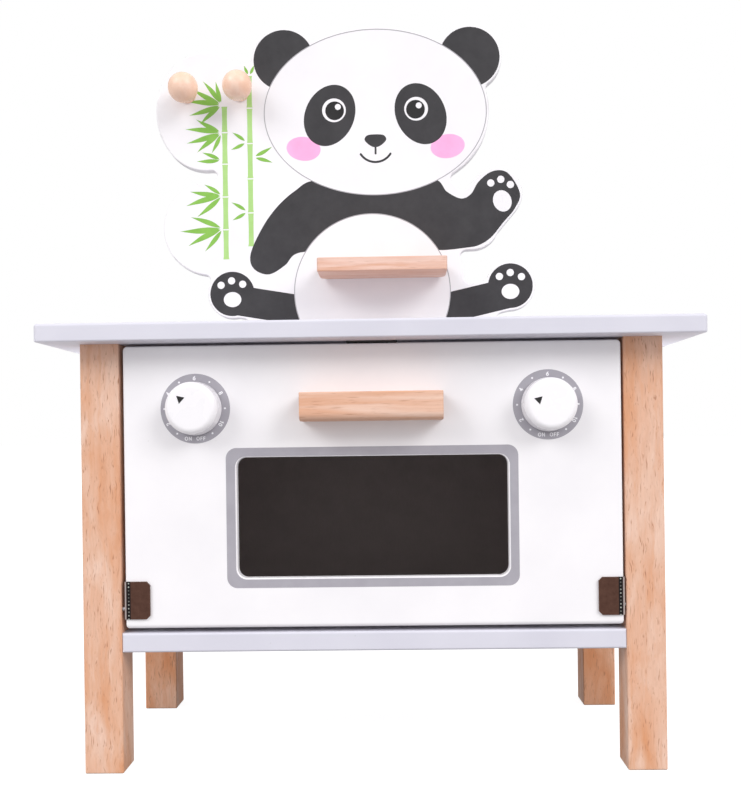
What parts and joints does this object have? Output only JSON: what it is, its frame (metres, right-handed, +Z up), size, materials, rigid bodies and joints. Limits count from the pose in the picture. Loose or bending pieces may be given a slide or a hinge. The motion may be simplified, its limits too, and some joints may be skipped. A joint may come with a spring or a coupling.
{
  "type": "wooden toy kitchen",
  "caption": "Free-standing wooden toy kitchen with beech legs, a worktop, an oven with drop-down windowed door and turning dials, and an animal-shaped backboard with shelf and pegs.",
  "frame": {"origin": "centre of the whole object's footprint box, on the floor under the legs", "axes": "+X to the right as seen from the front, +Y from the front to the back, +Z up"},
  "size_m": [0.4024, 0.2026, 0.531],
  "materials": {
    "beech": "clear satin varnish over solid beech",
    "pale_beech": "clear satin varnish over turned beech",
    "beech_dowel": "bare beech",
    "white_paint": "satin white paint on board",
    "pale_grey_paint": "satin pale grey paint on board",
    "dark_hardboard": "matte dark hardboard",
    "bronzed_steel": "bronzed sheet steel",
    "zinc_steel": "zinc plated",
    "black_plastic": "moulded matte",
    "magnet": "sintered"
  },
  "bodies": {
    "carcass": {"worktop": "pale_grey_paint", "leg_front_left": "beech", "leg_front_right": "beech", "leg_rear_left": "beech", "leg_rear_right": "beech", "oven_floor": "pale_grey_paint", "side_panel_left": "white_paint", "side_panel_right": "white_paint", "back_panel": "dark_hardboard", "worktop_cleat_left": "beech", "worktop_cleat_right": "beech", "door_stop_left": "beech", "door_stop_right": "beech", "leg_dowels": "beech_dowel", "side_panel_dowels": "beech_dowel", "floor_screws": "zinc_steel", "cleat_screws": "zinc_steel", "back_panel_screws": "zinc_steel", "stop_screws": "zinc_steel", "pivot_screws": "zinc_steel", "backboard": "white_paint", "backboard_screws": "zinc_steel", "backboard_dowels": "beech_dowel", "tray_shelf": "beech", "shelf_screws": "zinc_steel", "peg_left": "pale_beech", "peg_right": "pale_beech", "peg_screws": "zinc_steel", "catch_housing": "black_plastic", "catch_magnet": "magnet", "catch_screws": "zinc_steel"},
    "door": {"door_panel": "white_paint", "door_handle": "beech", "handle_screws": "zinc_steel", "pivot_bracket_left": "bronzed_steel", "pivot_bracket_right": "bronzed_steel", "bracket_screws": "zinc_steel", "strike_plate": "zinc_steel", "strike_screws": "zinc_steel"},
    "left_knob": {"knob_left": "white_paint", "knob_left_washer": "zinc_steel", "knob_left_screw": "zinc_steel"},
    "right_knob": {"knob_right": "white_paint", "knob_right_washer": "zinc_steel", "knob_right_screw": "zinc_steel"}
  },
  "joints": [
    {"name": "door_hinge", "type": "hinge", "parent": "carcass", "child": "door", "pos_m": [0, -0.07625, 0.1015], "axis": [1, 0, 0], "range_deg": [0, 90]},
    {"name": "left_knob_turn", "type": "hinge", "parent": "door", "child": "left_knob", "pos_m": [-0.1079, -0.07925, 0.225], "axis": [0, 1, 0], "continuous": true},
    {"name": "right_knob_turn", "type": "hinge", "parent": "door", "child": "right_knob", "pos_m": [0.10895, -0.07925, 0.22465], "axis": [0, 1, 0], "continuous": true}
  ]
}
